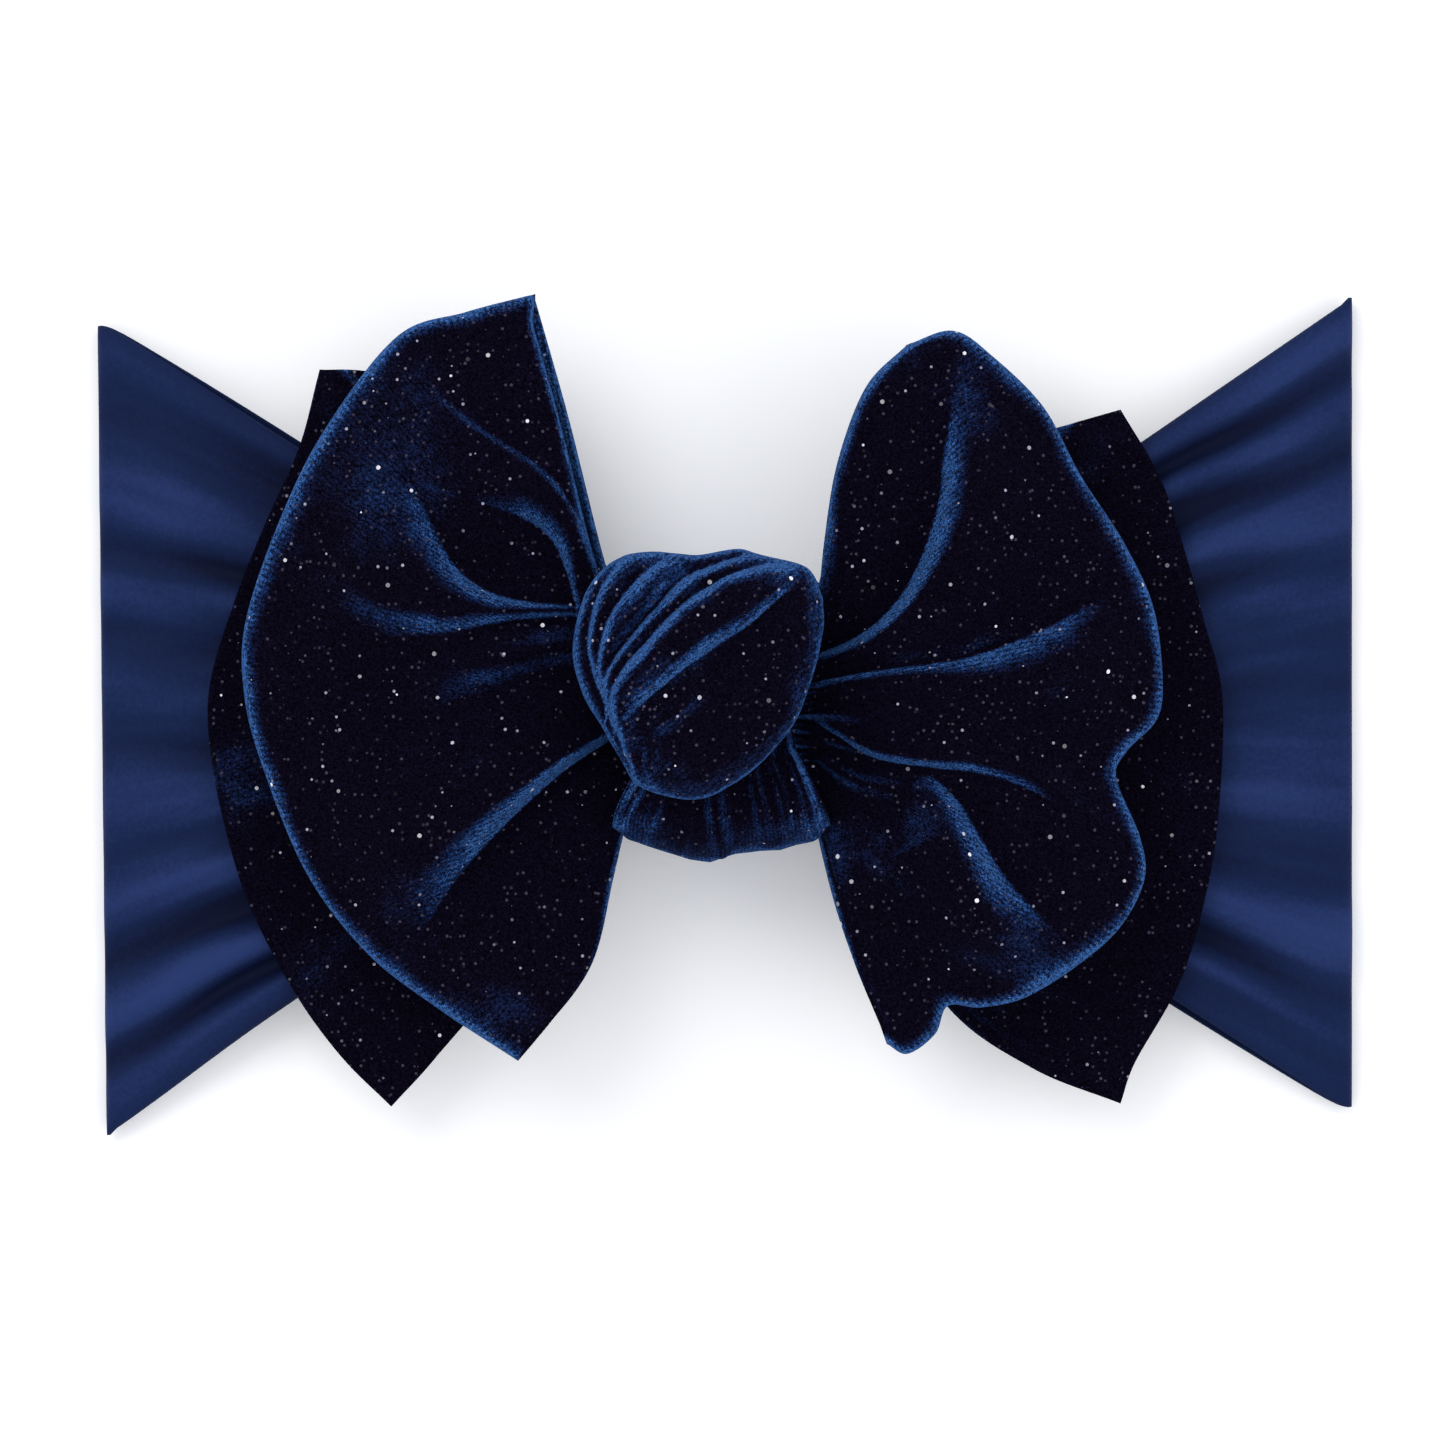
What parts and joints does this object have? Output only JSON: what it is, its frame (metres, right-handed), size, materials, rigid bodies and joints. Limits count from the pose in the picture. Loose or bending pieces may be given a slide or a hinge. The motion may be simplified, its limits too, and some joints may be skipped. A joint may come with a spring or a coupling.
{
  "type": "knotted headband",
  "caption": "Wide stretch headband lying flat, with a two-layer gathered velvet bow held on by a strip tied in an overhand knot.",
  "frame": {"origin": "on the resting plane, under the middle of the flat loop", "axes": "+X along the loop from fold to fold, +Y up the bow, +Z out of the bow towards the viewer"},
  "size_m": [0.165, 0.1102, 0.0463],
  "materials": {
    "nylon_knit": "satin",
    "velvet": "velvet pile with glitter",
    "thread": "matte"
  },
  "bodies": {
    "root": {"nylon_band": "nylon_knit", "band_back_seam": "nylon_knit", "rear_bow_waist": "velvet", "rear_gather_thread": "thread", "front_bow_waist": "velvet", "front_gather_thread": "thread", "knot_head": "velvet", "knot_wrap": "velvet", "wrap_closing_stitches": "thread"},
    "front_left": {"front_bow_left_lobe": "velvet"},
    "front_right": {"front_bow_right_lobe": "velvet"},
    "rear_left": {"rear_bow_left_lobe": "velvet"},
    "rear_right": {"rear_bow_right_lobe": "velvet"}
  },
  "joints": [
    {"name": "front_left_flex", "type": "hinge", "parent": "root", "child": "front_left", "pos_m": [-0.0155, 0, 0.0202], "axis": [0, 1, 0], "range_deg": [0, 30], "stiffness_Nm_per_rad": 0.004},
    {"name": "front_right_flex", "type": "hinge", "parent": "root", "child": "front_right", "pos_m": [0.0143, 0, 0.0202], "axis": [0, -1, 0], "range_deg": [0, 30], "stiffness_Nm_per_rad": 0.004},
    {"name": "rear_left_flex", "type": "hinge", "parent": "root", "child": "rear_left", "pos_m": [-0.0155, 0, 0.0146], "axis": [0, 1, 0], "range_deg": [0, 15], "stiffness_Nm_per_rad": 0.001},
    {"name": "rear_right_flex", "type": "hinge", "parent": "root", "child": "rear_right", "pos_m": [0.0143, 0, 0.0146], "axis": [0, -1, 0], "range_deg": [0, 15], "stiffness_Nm_per_rad": 0.001}
  ],
  "couplings": [
    {"joint": "rear_left_flex", "follows": "front_left_flex", "ratio": 0.5},
    {"joint": "rear_right_flex", "follows": "front_right_flex", "ratio": 0.5}
  ]
}
